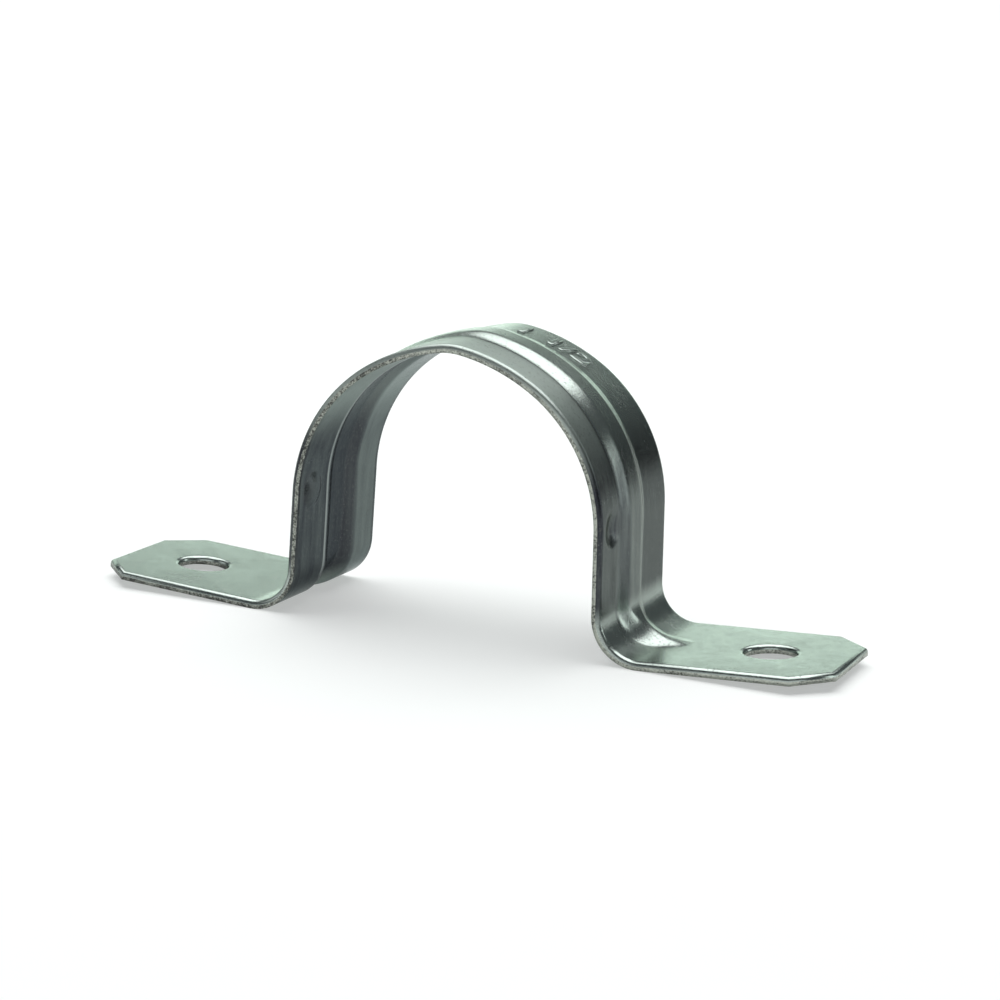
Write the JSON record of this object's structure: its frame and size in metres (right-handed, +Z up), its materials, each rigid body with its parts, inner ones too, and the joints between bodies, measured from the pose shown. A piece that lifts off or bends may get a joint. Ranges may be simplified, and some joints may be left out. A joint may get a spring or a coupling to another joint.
{
  "type": "conduit strap",
  "caption": "Pressed sheet-steel conduit strap: a ribbed round saddle on short legs, with a flat foot and a screw hole on either side.",
  "frame": {"origin": "midway between the two legs and between the two edges of the strip, on the surface that the bends stand on", "axes": "+X from foot to foot towards the right foot, +Y along the conduit away from the edge with the grip nibs, +Z up through the crown of the saddle"},
  "size_m": [0.1124, 0.025, 0.0422],
  "materials": {
    "zinc_plate": "bright zinc plating over pressed steel sheet"
  },
  "bodies": {
    "root": {"strap": "zinc_plate"}
  },
  "joints": []
}
